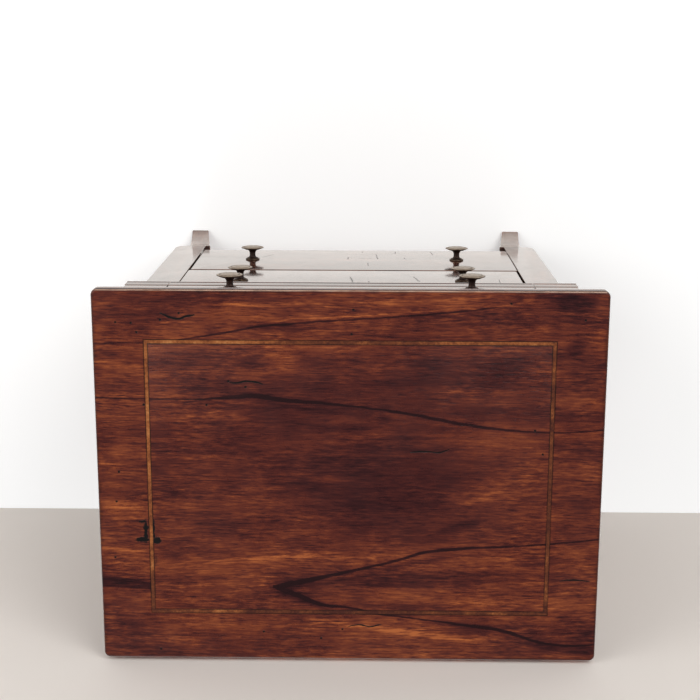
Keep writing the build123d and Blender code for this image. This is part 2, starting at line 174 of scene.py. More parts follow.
# Noise scales of the grain per metre: along it first, then twice across it
BROAD_BANDS = (7, 85, 85)
FINE_LINES = (26, 560, 560)
FIBRES = (95, 1500, 1500)
PORES = (150, 1250, 1250)
SLOW_WANDER = (9, 14, 14)
WANDER_REACH = 7 * MM
SEED_STEPS = (0.31, 0.57, 0.83)

# Where in the noise the wood of a piece is cut; pieces of one kind follow 1 apart
TOP_SEED = 1.7
POLISHED_SEED = 3.1
RAW_SEED = 40.3
MOULDING_SEED = 71.3

# How far the wear reaches in from the arrises
RUBBED_WIDTH = 0.9 * MM
GRIMY_WIDTH = 3.6 * MM
RAW_GRIMY_WIDTH = 4.0 * MM
TOP_GRIMY_WIDTH = 3.0 * MM


class Tree:
    """A node tree that grows by calls. An input may be a value or another node's socket."""

    def __init__(self, tree):
        self.tree = tree

    def node(self, kind, inputs=None, **settings):
        """A new shader node, its inputs given by name or number."""
        made = self.tree.nodes.new("ShaderNode" + kind)
        for name, value in settings.items():
            setattr(made, name, value)
        for key, value in (inputs or {}).items():
            self.feed(made.inputs[key], value)
        return made

    def feed(self, socket, value):
        """Link a socket to another, or set its value."""
        if isinstance(value, bpy.types.NodeSocket):
            self.tree.links.new(value, socket)
        else:
            socket.default_value = value

    def calc(self, operation, a, b=0.0, c=0.0, clamp=False):
        """A sum on numbers, as Blender's Math node does it."""
        made = self.node("Math", {0: a, 1: b, 2: c}, operation=operation, use_clamp=clamp)
        return made.outputs[0]

    def swing(self, value, amount, base, clamp=False):
        """The base plus an amount times how far the value is above 0.5."""
        return self.calc("MULTIPLY_ADD", self.calc("SUBTRACT", value, 0.5), amount, base, clamp)

    def vector(self, operation, a, b=(0, 0, 0)):
        """A sum on vectors."""
        made = self.node("VectorMath", {0: a, 1: b}, operation=operation)
        return made.outputs["Value" if operation in ("DISTANCE", "LENGTH") else "Vector"]

    def step(self, value, low, high, to_low=0.0, to_high=1.0):
        """A smooth step of value from low to high."""
        inputs = {"Value": value, "From Min": low, "From Max": high, "To Min": to_low, "To Max": to_high}
        return self.node("MapRange", inputs, interpolation_type="SMOOTHSTEP").outputs[0]

    def noise(self, place, scale, detail=2.0, rough=0.5):
        """Noise from about 0.2 to 0.8."""
        inputs = {"Vector": place, "Scale": scale, "Detail": detail, "Roughness": rough}
        return self.node("TexNoise", inputs).outputs[0]

    def stretched(self, place, scales, detail=2.0, rough=0.5):
        """Noise whose scale per metre differs along the three axes."""
        return self.noise(self.vector("MULTIPLY", place, scales), 1.0, detail, rough)

    def mix(self, factor, a, b):
        """Colour a where the factor is 0, colour b where it is 1."""
        made = self.node("Mix", data_type="RGBA", clamp_factor=True)
        for index, value in ((0, factor), (6, a), (7, b)):
            if isinstance(value, tuple):
                value = (*value, 1.0)
            self.feed(made.inputs[index], value)
        return made.outputs[2]

    def ramp(self, value, stops):
        """A colour from stops given as (position, colour)."""
        made = self.node("ValToRGB", {0: value})
        points = made.color_ramp.elements
        while len(points) < len(stops):
            points.new(0.5)
        for point, (position, colour) in zip(points, stops):
            point.position = position
            point.color = (*colour, 1.0)
        return made.outputs[0]

    def curve(self, value, points):
        """A smooth curve through given points, all between 0 and 1."""
        made = self.node("FloatCurve", {1: value})
        line = made.mapping.curves[0]
        while len(line.points) < len(points):
            line.points.new(0.5, 0.5)
        for point, place in zip(line.points, points):
            point.location = place
        made.mapping.update()
        return made.outputs[0]


def new_group(name, inputs, outputs):
    """A shader node group with named sockets, given as (label, kind)."""
    tree = bpy.data.node_groups.new(name, "ShaderNodeTree")
    for label, kind in inputs:
        tree.interface.new_socket(name=label, in_out="INPUT", socket_type="NodeSocket" + kind)
    for label in outputs:
        tree.interface.new_socket(name=label, in_out="OUTPUT", socket_type="NodeSocketFloat")
    entry = tree.nodes.new("NodeGroupInput")
    leave = tree.nodes.new("NodeGroupOutput")
    return Tree(tree), entry.outputs, leave.inputs


def grain_group():
    """Wood grain along the first axis: bands, lines, fibres and pores, from 0 to 1."""
    t, given, out = new_group(
        "wood_grain", [("Vector", "Vector"), ("Seed", "Float")], ["Broad", "Fine", "Fibre", "Pores"]
    )
    moved = {i: t.calc("MULTIPLY", given["Seed"], k) for i, k in enumerate(SEED_STEPS)}
    spread = t.node("CombineXYZ", moved)
    place = t.vector("ADD", given["Vector"], spread.outputs[0])
    wander = t.calc("SUBTRACT", t.stretched(place, SLOW_WANDER, 2), 0.5)
    bend = t.calc("MULTIPLY", wander, WANDER_REACH)
    shift = t.node("CombineXYZ", {1: bend, 2: bend})
    place = t.vector("ADD", place, shift.outputs[0])
    t.feed(out["Broad"], t.stretched(place, BROAD_BANDS, 3, 0.6))
    t.feed(out["Fine"], t.stretched(place, FINE_LINES, 3, 0.65))
    t.feed(out["Fibre"], t.stretched(place, FIBRES, 2, 0.65))
    t.feed(out["Pores"], t.step(t.stretched(place, PORES, 1), 0.60, 0.70))
    return t.tree


def edge_group():
    """How near a place is to the nearest arris of a board's box, 1 on the arris."""
    t, given, out = new_group(
        "board_edges",
        [("Vector", "Vector"), ("Low", "Vector"), ("High", "Vector"), ("Width", "Float")],
        ["Edge"],
    )
    inside = t.vector(
        "MINIMUM",
        t.vector("SUBTRACT", given["Vector"], given["Low"]),
        t.vector("SUBTRACT", given["High"], given["Vector"]),
    )
    x, y, z = t.node("SeparateXYZ", {0: inside}).outputs
    least = t.calc("MINIMUM", x, y)
    most = t.calc("MAXIMUM", x, y)
    second = t.calc("MAXIMUM", least, t.calc("MINIMUM", most, z))
    patchy = t.noise(given["Vector"], 55.0, 5, 0.55)
    width = t.calc("MULTIPLY", given["Width"], t.step(patchy, 0.32, 0.68, 0.35, 1.35))
    t.feed(out["Edge"], t.calc("SUBTRACT", 1.0, t.step(t.calc("DIVIDE", second, width), 0.15, 1.0)))
    return t.tree


def blot_group():
    """A soft ellipse with a ragged rim, 1 in its middle."""
    sockets = [("Vector", "Vector"), ("Centre", "Vector"), ("Radius", "Vector"), ("Rag", "Float")]
    t, given, out = new_group("blot", sockets, ["Mask"])
    away = t.vector("DIVIDE", t.vector("SUBTRACT", given["Vector"], given["Centre"]), given["Radius"])
    rag = t.calc("SUBTRACT", t.stretched(given["Vector"], (35, 160, 1), 3, 0.6), 0.5)
    reach = t.calc("MULTIPLY_ADD", rag, given["Rag"], t.vector("LENGTH", away))
    t.feed(out["Mask"], t.step(reach, 1.15, 0.25))
    return t.tree


GRAIN = grain_group()
EDGES = edge_group()
BLOT = blot_group()


def object_place(t):
    """The place in the object's own metres, which are the frame's."""
    return t.node("TexCoord").outputs["Object"]


def grain_nodes(t, axis, seed):
    """The grain group set along a board's own axis."""
    parts = t.node("SeparateXYZ", {0: object_place(t)}).outputs
    turned = t.node("CombineXYZ", {i: parts[k] for i, k in enumerate(GRAIN_ORDER[axis])}).outputs[0]
    return t.node("Group", {"Vector": turned, "Seed": seed}, node_tree=GRAIN).outputs


def edge_mask(t, box, width):
    """The edge group set on a board's own box."""
    low, high = (tuple(corner) for corner in box)
    inputs = {"Vector": object_place(t), "Low": low, "High": high, "Width": width}
    return t.node("Group", inputs, node_tree=EDGES).outputs[0]


def blot(t, place, centre, radius, rag):
    """One soft ellipse, its centre and half lengths given in millimetres."""
    (cu, cv), (ru, rv) = centre, radius
    inputs = {"Vector": place, "Centre": (cu * MM, cv * MM, 0), "Radius": (ru * MM, rv * MM, 1), "Rag": rag}
    return t.node("Group", inputs, node_tree=BLOT).outputs[0]


def grain_tone(t, grain, broad=1.2, fine=1.15, fibre=0.75, pores=0.2):
    """Bands, lines and fibres added up around a middle tone of 0.5."""
    tone = t.swing(grain["Broad"], broad, 0.5)
    tone = t.swing(grain["Fine"], fine, tone)
    tone = t.swing(grain["Fibre"], fibre, tone)
    return t.calc("MULTIPLY_ADD", grain["Pores"], -pores, tone)


def empty_material(name):
    """A material with an empty tree."""
    material = bpy.data.materials.new(name)
    material.use_nodes = True
    material.node_tree.nodes.clear()
    return material, Tree(material.node_tree)


def new_material(name):
    """A material with its Principled node, linked to its output."""
    material, t = empty_material(name)
    shader = t.node("BsdfPrincipled")
    output = t.node("OutputMaterial")
    t.feed(output.inputs["Surface"], shader.outputs[0])
    return material, t, shader


def set_shader(t, shader, colour, roughness, normal, **constants):
    """Link the shader's main inputs and set the rest as constants."""
    t.feed(shader.inputs["Base Color"], colour)
    t.feed(shader.inputs["Roughness"], roughness)
    t.feed(shader.inputs["Normal"], normal)
    for name, value in constants.items():
        shader.inputs[name.replace("_", " ")].default_value = value


def bump(t, height, strength, distance):
    """A normal from a height, for marks too small to model."""
    inputs = {"Height": height, "Strength": strength, "Distance": distance}
    return t.node("Bump", inputs).outputs[0]


def grazing_coat(t, shader, weight, low, high):
    """A polish that shows at a low angle and hardly face on."""
    facing = t.node("LayerWeight", {"Blend": 0.5}).outputs["Facing"]
    t.feed(shader.inputs["Coat Weight"], t.calc("MULTIPLY", t.step(facing, low, high), weight))


def polished_wood(name, axis, seed, box, cracks=(), dusty=False, gloss=MIRROR_GLOSS):
    """Old polish over dark wood, rubbed pale at the arrises and grimy beside them.

    A dusty piece is pale on the faces that look forwards.
    """
    material, t, shader = new_material(name)
    grain = grain_nodes(t, axis, seed)
    place = object_place(t)
    tone = grain_tone(t, grain)
    patch = t.noise(place, 22.0, 3, 0.55)
    tone = t.swing(patch, 0.8, tone, clamp=True)
    colour = t.ramp(tone, CASE_TONES)
    grimy = edge_mask(t, box, GRIMY_WIDTH)
    colour = t.mix(t.calc("MULTIPLY", grimy, 0.5), colour, GRIME)
    rubbed = edge_mask(t, box, RUBBED_WIDTH)
    colour = t.mix(t.calc("MULTIPLY", rubbed, 0.6), colour, WORN)
    if dusty:
        outward = t.node("SeparateXYZ", {0: t.node("TexCoord").outputs["Normal"]}).outputs[1]
        ahead = t.step(outward, -0.45, -0.80, 0.12, 1.0)
        dust = t.step(t.noise(place, 90.0, 4, 0.6), 0.3, 0.75, 0.50, 0.85)
        colour = t.mix(t.calc("MULTIPLY", dust, ahead), colour, DUST)
    rough = t.step(t.noise(place, 60.0, 4, 0.6), 0.35, 0.7, 0.12, 0.22)
    rough = t.calc("MULTIPLY_ADD", rubbed, 0.2, rough)
    height = t.calc("MULTIPLY_ADD", grain["Fine"], 0.5, t.calc("MULTIPLY", grain["Pores"], -0.5))
    sound = t.step(t.noise(place, 45.0, 4, 0.65), 0.25, 0.6, 0.96, 1.0)
    if cracks:
        split = gathered(t, [crack_mask(t, place, *line) for line in cracks])
        colour = t.mix(split, colour, GRIME)
        rough = t.calc("MULTIPLY_ADD", split, 0.35, rough, clamp=True)
        height = t.calc("MULTIPLY_ADD", split, -1.0, height)
        sound = t.calc("SUBTRACT", sound, t.calc("MULTIPLY", split, 0.45), clamp=True)
    constants = {"Specular_IOR_Level": 0.42, "Coat_Roughness": gloss, "Coat_IOR": 2.25}
    set_shader(t, shader, colour, rough, bump(t, height, 0.25, 0.06 * MM), **constants)
    if dusty:
        sound = t.calc("MULTIPLY", sound, ahead)
    grazing_coat(t, shader, sound, *(DUSTY_COAT if dusty else CASE_COAT))
    return material


def crack_mask(t, place, start, end, width):
    """A thin ragged line on a drawer front between two (x, z) places in millimetres."""
    middle = ((start[0] + end[0]) / 2 * MM, 0.0, (start[1] + end[1]) / 2 * MM)
    run = (end[0] - start[0], end[1] - start[1])
    length = math.hypot(*run)
    along = (run[0] / length, 0.0, run[1] / length)
    across = (run[1] / length, 0.0, -run[0] / length)
    offset = t.vector("SUBTRACT", place, middle)
    u = t.node("VectorMath", {0: offset, 1: along}, operation="DOT_PRODUCT").outputs["Value"]
    v = t.node("VectorMath", {0: offset, 1: across}, operation="DOT_PRODUCT").outputs["Value"]
    v = t.calc("ABSOLUTE", t.swing(t.noise(place, 260.0, 3, 0.6), 3.0 * MM, v))
    side = t.step(v, width * MM, width * 0.4 * MM)
    reach = t.step(t.calc("ABSOLUTE", u), length / 2 * MM, length * 0.3 * MM)
    return t.calc("MULTIPLY", side, reach)


def raw_wood(name, axis, seed, box, tones):
    """Bare wood inside the chest, dry, with grime along its edges."""
    material, t, shader = new_material(name)
    grain = grain_nodes(t, axis, seed)
    place = object_place(t)
    tone = grain_tone(t, grain, 1.15, 1.3, 0.9, 0.25)
    patch = t.noise(place, 14.0, 4, 0.6)
    tone = t.swing(patch, 0.9, tone, clamp=True)
    colour = t.ramp(tone, tones)
    colour = t.mix(t.calc("MULTIPLY", edge_mask(t, box, RAW_GRIMY_WIDTH), 0.38), colour, RAW_GRIME)
    height = t.calc("MULTIPLY_ADD", grain["Fibre"], 0.6, t.calc("MULTIPLY", grain["Pores"], -0.8))
    rough = t.step(grain["Fine"], 0.3, 0.7, 0.72, 0.88)
    set_shader(t, shader, colour, rough, bump(t, height, 0.5, 0.15 * MM), Specular_IOR_Level=0.3)
    return material


# What the photograph shows on the top, in millimetres from the top's right end
# (+X) and from its front edge. A vein is its path, its half widths along the way
# and how strongly it darkens. Places were picked one by one.
VEINS = [
    (
        [(49, 30), (63, 28), (85, 24), (99, 21.5), (121, 19.5), (150, 17.5), (179, 15.5), (202, 13.5)]
        + [(234, 10)],
        [(44, 0), (60, 0.8), (95, 1.0), (150, 0.75), (200, 0.9), (225, 0.7), (240, 0)],
        0.75,
    ),
    (
        [(1, 65), (30, 65.5), (62, 65.5), (83, 64), (95, 63.5), (109, 65.5), (139, 68), (180, 73)]
        + [(221, 80.5), (262, 84.5), (299, 83)],
        [(0, 0.8), (30, 0.8), (62, 0.7), (75, 1.2), (100, 1.6), (125, 1.3), (160, 0.9), (200, 1.3)]
        + [(235, 1.0), (262, 0.7), (299, 0.8)],
        0.85,
    ),
    (
        [(104, 183), (127, 178), (154, 171.5), (178, 165.5), (193, 160.5), (211, 158), (244, 156)]
        + [(265, 154.5), (299, 151)],
        [(103, 0), (112, 1.9), (140, 1.4), (170, 1.1), (205, 1.3), (240, 0.9), (299, 0.7)],
        0.9,
    ),
    (
        [(104, 182.5), (112, 185.5), (121, 189), (133, 194), (151, 196), (169, 200), (193, 203)]
        + [(218, 206.5), (242, 210), (270, 218.5), (299, 219)],
        [(103, 0), (112, 2.0), (135, 1.4), (170, 0.8), (215, 1.1), (245, 1.3), (275, 1.0), (299, 0.8)],
        0.9,
    ),
    ([(0, 180), (15, 181), (30, 183)], [(0, 4.0), (12, 3.6), (24, 2.9), (31, 2.6)], 0.62),
    ([(1, 32.5), (15, 32), (31, 31.5)], [(0, 0.5), (15, 0.8), (31, 0.4)], 0.6),
]
HALOED_VEINS = VEINS[:5]

# Soft dark shade beside the veins, given the same way
SHADES = [
    (
        [(104, 184), (130, 181), (160, 175), (190, 167), (211, 163), (255, 160)],
        [(102, 1.5), (115, 3.6), (150, 2.8), (190, 3.6), (215, 2.2), (256, 0)],
        0.55,
    ),
    ([(102, 183), (116, 190), (134, 196)], [(100, 1.0), (112, 4.0), (136, 0)], 0.5),
    ([(236, 211), (262, 219), (280, 222), (299, 223)], [(234, 0), (262, 3.6), (285, 4.6), (299, 4.0)], 0.5),
    (
        [(84, 66), (110, 69), (140, 73), (180, 78), (222, 85)],
        [(80, 0), (110, 2.6), (140, 3.2), (180, 2.6), (224, 0)],
        0.4,
    ),
    ([(196, 150), (214, 144), (232, 140)], [(194, 0), (214, 4.0), (234, 0)], 0.4),
]

# Short open splits, given the same way but without a strength
SPLITS = [
    ([(40, 14), (46, 16.5), (51, 17.5), (55, 16), (60, 15)], [(39, 0), (45, 0.9), (55, 0.95), (61, 0)]),
    ([(76, 55), (83, 55.5), (92, 54.5), (99, 56), (104, 57)], [(79, 0), (84, 0.75), (95, 0.85), (100, 0)]),
    ([(186, 97.5), (195, 96.5), (204, 97), (209, 95)], [(185, 0), (190, 0.7), (204, 0.7), (210, 0)]),
    ([(149, 208.5), (157, 207), (163, 208), (170, 206.5)], [(148, 0), (155, 0.65), (165, 0.65), (171, 0)]),
    ([(277, 178), (284, 177), (295, 178)], [(276, 0), (282, 0.7), (292, 0.65), (296, 0)]),
]

# Pale streaks beside the veins, given as the veins are
STREAKS = [
    (
        [(60, 26.5), (99, 19.5), (150, 15.5), (202, 11.5), (265, 8)],
        [(58, 0), (90, 1.0), (200, 1.2), (270, 0)],
        0.42,
    ),
    ([(1, 44), (20, 45), (31, 46)], [(0, 2.5), (14, 3.4), (31, 0)], 0.20),
    ([(1, 132), (16, 133), (31, 135)], [(0, 1.0), (14, 2.2), (31, 0)], 0.18),
    ([(1, 158), (16, 160), (31, 161)], [(0, 1.6), (12, 2.2), (31, 0)], 0.18),
    (
        [(250, 7.5), (262, 9.5), (272, 12.8), (284, 14), (293, 14.2)],
        [(246, 0), (262, 0.4), (280, 1.3), (294, 0)],
        0.42,
    ),
    (
        [(99, 35), (101, 40), (105, 44.5), (112, 47.5)],
        [(98, 0), (100, 0.35), (106, 0.35), (113, 0)],
        0.40,
    ),
    (
        [(154, 186), (166, 181.5), (180, 179), (192, 175)],
        [(152, 0), (160, 0.4), (182, 0.4), (194, 0)],
        0.30,
    ),
    ([(62, 168), (90, 166), (120, 163), (150, 160)], [(60, 0), (90, 3.0), (120, 2.4), (152, 0)], 0.26),
    ([(120, 203), (170, 210), (215, 216), (240, 220)], [(118, 0), (165, 2.8), (215, 2.4), (242, 0)], 0.28),
    ([(60, 8), (140, 9), (230, 4)], [(58, 0), (140, 2.5), (235, 0)], 0.35),
]

# Blots of darker or paler wood: place, half length along and across the grain, change of tone
BLOTS = [
    ((171, 118), (66, 36), -0.25),
    ((105, 92), (56, 40), -0.08),
    ((160, 60), (125, 30), -0.15),
    ((109, 40), (12, 10), 0.24),
    ((280, 7.5), (17, 6.5), -0.34),
    ((200, 187), (48, 7), 0.09),
    ((14, 131), (15, 6), 0.11),
    ((22, 160), (13, 6), 0.13),
    ((20, 172), (14, 4), 0.10),
    ((262, 178), (12, 6), 0.13),
    ((40, 172), (12, 7), 0.10),
    ((232, 122), (30, 8), 0.10),
    ((30, 14), (28, 13), -0.10),
    ((72, 178), (36, 14), 0.12),
    ((106, 165), (45, 8), 0.09),
    ((185, 213), (60, 12), 0.12),
    ((60, 213), (40, 14), 0.07),
    ((17, 216), (18, 13), -0.13),
    ((290, 216), (12, 12), -0.13),
    ((245, 96), (38, 22), 0.08),
    ((15, 100), (17, 62), 0.05),
    ((165, 13), (90, 12), 0.08),
    ((185, 178), (40, 8), -0.10),
    ((281, 33), (8, 6), -0.26),
    ((285, 100), (13, 70), -0.04),
    ((18, 48), (15, 10), 0.12),
    ((215, 50), (60, 14), -0.06),
]

# Flight holes of worm, each a small dark dot
WORM_HOLES = [
    (14, 19.5), (23, 20), (26, 25.5), (51, 14), (40, 18), (29, 69), (66, 69), (13, 110.5), (11, 129),
    (9, 164.5), (98, 212), (133, 216), (35, 224), (146, 210), (79, 54.5), (89, 58), (152, 11.5),
    (151, 26), (286, 17), (243, 7.5), (259, 83.5), (264, 98),
]
WORM_RADIUS = 0.72 * MM

# Burnt-looking damage beside the left run of stringing: place, half length along and across
SCARS = [
    ((27.9, 147.2), (1.7, 9.5)),
    ((26.1, 141.7), (3.2, 1.5)),
    ((25.7, 153.1), (4.8, 1.9)),
    ((32.6, 146.7), (1.1, 7.5)),
    ((34.5, 153.6), (2.9, 2.9)),
]
FAINT_SCAR = ((33.4, 166.4), (1.6, 6.4))

# The middle of the board, where the figure is quiet, given as a scar is
CALM = ((172, 98), (110, 78))

# Noise scales of the top's figure, and of the patches of the painted highlight on its front arris, per
# metre, along and across the board
CLOUDS = (40, 60, 1)
DASHES = (120, 640, 1)
LIVELY_PLACES = (22, 45, 1)
HIGHLIGHT_PATCHES = (60, 900, 1)

# How ragged the rims of blots, scars, the calm middle and the stringing's dull stretches are
BLOT_RAG = 1.6
SCAR_RAG = 1.2
CALM_RAG = 0.8
STRING_RAG = 1.5

# How lines across the grain are shaken: noise scale per metre and reach
ROUGH_SHAKE = (70.0, 2.6 * MM)
FINE_SHAKE = (110.0, 1.6 * MM)
SCAR_SHAKE = (300.0, 2.4 * MM)

# How softly a vein, its halo, a shade, a streak and a split fade out, and how wide a halo is
VEIN_FADE = 0.7 * MM
HALO_FADE = 3.5 * MM
SHADE_FADE = 4.5 * MM
STREAK_FADE = 2.2 * MM
SPLIT_FADE = 0.5 * MM
HALO_WIDENING = 2.4

# How much a vein, its halo and a shade take from the tone
VEIN_DEPTH = 0.42
HALO_DEPTH = 0.12
SHADE_DEPTH = 0.42

# The stringing's dull stretches, as the blots are
STRING_FADES = [
    ((152, 31), (56, 9), -0.36),
    ((150, 198), (140, 10), -0.50),
    ((270, 110), (9, 110), -0.42),
    ((235, 31), (40, 6), -0.10),
    ((31, 185), (6, 22), -0.14),
    ((258, 199), (26, 8), -0.30),
]


def top_coordinates(t):
    """The place on the top from its right end and from its front edge, in metres."""
    x, y = t.node("SeparateXYZ", {0: object_place(t)}).outputs[:2]
    return t.calc("SUBTRACT", top_high.x, x), t.calc("SUBTRACT", y, top_low.y)


def line_mask(t, u, v, path, widths, fade):
    """A line along a path: how far its half width reaches past each place."""
    widest = max(width for _, width in widths) * MM
    along = t.calc("DIVIDE", u, TOP_LENGTH)
    height = t.curve(along, [(x * MM / TOP_LENGTH, y * MM / TOP_DEPTH) for x, y in path])
    width = t.curve(along, [(x * MM / TOP_LENGTH, w * MM / widest) for x, w in widths])
    first, last = path[0][0] * MM, path[-1][0] * MM
    away = t.calc("ABSOLUTE", t.calc("MULTIPLY_ADD", height, -TOP_DEPTH, v))
    inside = t.calc("MULTIPLY", t.step(u, first - MM, first), t.step(u, last + MM, last))
    reach = t.calc("MULTIPLY_ADD", width, widest, t.calc("MULTIPLY", away, -1.0))
    return t.calc("MULTIPLY", t.step(reach, 0.0, fade), inside)


def strongest_line(t, u, v, lines, fade, widening=1.0):
    """The greatest of several lines' masks, each times its own strength."""
    masks = []
    for path, widths, strength in lines:
        wide = [(x, width * widening) for x, width in widths]
        masks.append(t.calc("MULTIPLY", line_mask(t, u, v, path, wide, fade), strength))
    return gathered(t, masks)


def ragged_v(t, u, v, scale, amount):
    """The place v across the grain, shaken a little so that no line runs smooth."""
    place = t.node("CombineXYZ", {0: u, 1: v}).outputs[0]
    return t.swing(t.stretched(place, (scale, scale * 2.5, 1), 3, 0.6), amount, v)


def gathered(t, masks, operation="MAXIMUM"):
    """One mask out of many: the greatest, or what another operation gives."""
    total = masks[0]
    for mask in masks[1:]:
        total = t.calc(operation, total, mask)
    return total


def stringing_line(t):
    """Distance in metres from the middle line of the stringing."""
    reach = [(high - low) / 2 - STRING_WIDTH / 2 for low, high in zip(STRING_LOW, STRING_HIGH)]
    middle = [(low + high) / 2 for low, high in zip(STRING_LOW, STRING_HIGH)]
    away = t.vector("ABSOLUTE", t.vector("SUBTRACT", object_place(t), (*middle, 0)))
    x, y = t.node("SeparateXYZ", {0: t.vector("SUBTRACT", away, (*reach, 0))}).outputs[:2]
    return t.calc("ABSOLUTE", t.calc("MAXIMUM", x, y))


def top_figure(t, grain, flat, u, v):
    """The top's tone without its veins: grain, dashes, clouds, blots and pale streaks."""
    tone = grain_tone(t, grain, 0.70, 0.55, 0.60, 0.17)
    tone = t.swing(t.stretched(flat, CLOUDS, 4, 0.6), 0.60, tone)
    lively = t.step(t.stretched(flat, LIVELY_PLACES, 3, 0.6), 0.35, 0.68, 0.30, 1.45)
    tone = t.swing(t.stretched(flat, DASHES, 4, 0.68), lively, tone)
    loudness = t.calc("MULTIPLY_ADD", blot(t, flat, *CALM, CALM_RAG), -0.42, 1.0)
    tone = t.swing(tone, loudness, 0.52)
    for centre, radius, change in BLOTS:
        tone = t.calc("MULTIPLY_ADD", blot(t, flat, centre, radius, BLOT_RAG), change, tone)
    for path, widths, strength in STREAKS:
        mask = t.calc("MULTIPLY", line_mask(t, u, v, path, widths, STREAK_FADE), strength)
        tone = t.calc("MULTIPLY_ADD", mask, t.step(grain["Fine"], 0.35, 0.65, 0.2, 1.2), tone)
    return tone


def top_damage(t, flat, u, v, ragged):
    """Worm holes, splits and the scar by the stringing, 1 where the wood is gone."""
    splits = gathered(t, [line_mask(t, u, ragged, path, widths, SPLIT_FADE) for path, widths in SPLITS])
    nearest = gathered(
        t, [t.vector("DISTANCE", flat, (a * MM, b * MM, 0)) for a, b in WORM_HOLES], "MINIMUM"
    )
    nearest = t.swing(t.noise(object_place(t), 900.0, 1), 0.5 * MM, nearest)
    holes = t.step(nearest, WORM_RADIUS * 1.25, WORM_RADIUS * 0.6)
    shaken_u = ragged_v(t, v, u, *SCAR_SHAKE)
    shaken_v = ragged_v(t, u, v, *SCAR_SHAKE)
    shaken = t.node("CombineXYZ", {0: shaken_u, 1: shaken_v}).outputs[0]
    scars = [blot(t, shaken, *scar, SCAR_RAG) for scar in SCARS]
    scars.append(t.calc("MULTIPLY", blot(t, shaken, *FAINT_SCAR, SCAR_RAG), 0.45))
    burnt = t.step(gathered(t, scars), 0.22, 0.75)
    return t.calc("MAXIMUM", t.calc("MAXIMUM", holes, splits), burnt)


def painted_front_edge(t, flat, v):
    """Masks of a painted dark reflection on the top's front edge and of a painted highlight along the arris
    above it.
    """
    height = t.node("SeparateXYZ", {0: object_place(t)}).outputs[2]
    under = t.calc("SUBTRACT", top_high.z, height)
    painted_dark_reflection = t.calc("MULTIPLY", t.step(v, 0.5 * MM, 0.1 * MM), t.step(under, 4.2 * MM, 2.6 * MM))
    arris = t.calc("MULTIPLY", t.step(under, 0.9 * MM, 0.4 * MM), t.step(v, 1.2 * MM, 0.6 * MM))
    painted_dark_reflection = t.calc("SUBTRACT", painted_dark_reflection, arris, clamp=True)
    # The painted highlight breaks into patches
    patchy = t.step(t.stretched(flat, HIGHLIGHT_PATCHES, 3, 0.6), 0.3, 0.6, 0.25, 0.85)
    return painted_dark_reflection, t.calc("MULTIPLY", arris, patchy)


def top_wood():
    """The top: figured wood with dark veins, pale streaks, worm holes and scars."""
    material, t, shader = new_material("top_rosewood")
    grain = grain_nodes(t, "x", TOP_SEED)
    place = object_place(t)
    u, v = top_coordinates(t)
    flat = t.node("CombineXYZ", {0: u, 1: v}).outputs[0]
    rough_v = ragged_v(t, u, v, *ROUGH_SHAKE)
    fine_v = ragged_v(t, u, v, *FINE_SHAKE)

    tone = top_figure(t, grain, flat, u, rough_v)
    veins = strongest_line(t, u, fine_v, VEINS, VEIN_FADE)
    halo = strongest_line(t, u, rough_v, HALOED_VEINS, HALO_FADE, HALO_WIDENING)
    shade = strongest_line(t, u, rough_v, SHADES, SHADE_FADE)
    tone = t.calc("MULTIPLY_ADD", halo, -HALO_DEPTH, tone)
    tone = t.calc("MULTIPLY_ADD", shade, -SHADE_DEPTH, tone)
    tone = t.calc("MULTIPLY_ADD", veins, -VEIN_DEPTH, tone, clamp=True)
    colour = t.ramp(tone, TOP_TONES)
    colour = t.mix(t.calc("MULTIPLY", veins, 0.5), colour, VEIN_AND_DARK_REFLECTION)

    beside = t.step(stringing_line(t), STRING_WIDTH * 0.85, STRING_WIDTH * 0.52)
    beside = t.calc("MULTIPLY", beside, t.step(t.noise(place, 60.0, 3), 0.3, 0.6, 0.35, 0.9))
    colour = t.mix(beside, colour, GRIME)
    damage = top_damage(t, flat, u, v, fine_v)
    colour = t.mix(damage, colour, HOLLOW)
    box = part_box("top_board")
    colour = t.mix(t.calc("MULTIPLY", edge_mask(t, box, TOP_GRIMY_WIDTH), 0.45), colour, GRIME)
    colour = t.mix(t.calc("MULTIPLY", edge_mask(t, box, RUBBED_WIDTH), 0.5), colour, WORN)
    # A painted highlight along the front arris, and a painted dark reflection on the front edge below it
    painted_dark_reflection, arris = painted_front_edge(t, flat, v)
    colour = t.mix(arris, colour, PAINTED_ARRIS_HIGHLIGHT)
    colour = t.mix(t.calc("MULTIPLY", painted_dark_reflection, 0.8), colour, VEIN_AND_DARK_REFLECTION)

    rough = t.step(t.noise(place, 30.0, 5, 0.65), 0.3, 0.7, 0.24, 0.36)
    rough = t.calc("MULTIPLY_ADD", damage, 0.35, rough)
    height = t.calc("MULTIPLY_ADD", grain["Fine"], 0.5, t.calc("MULTIPLY", grain["Pores"], -0.6))
    height = t.calc("MULTIPLY_ADD", damage, -4.0, height)
    height = t.calc("MULTIPLY_ADD", veins, -0.6, height)
    constants = {"Specular_IOR_Level": 0.22, "Coat_Roughness": TOP_GLOSS}
    set_shader(t, shader, colour, rough, bump(t, height, 0.35, 0.12 * MM), **constants)
    # The polish is thinned on the painted dark reflection, so that it stays dark
    grazing_coat(t, shader, t.calc("MULTIPLY_ADD", painted_dark_reflection, -0.75, 0.8), *TOP_COAT)
    return material


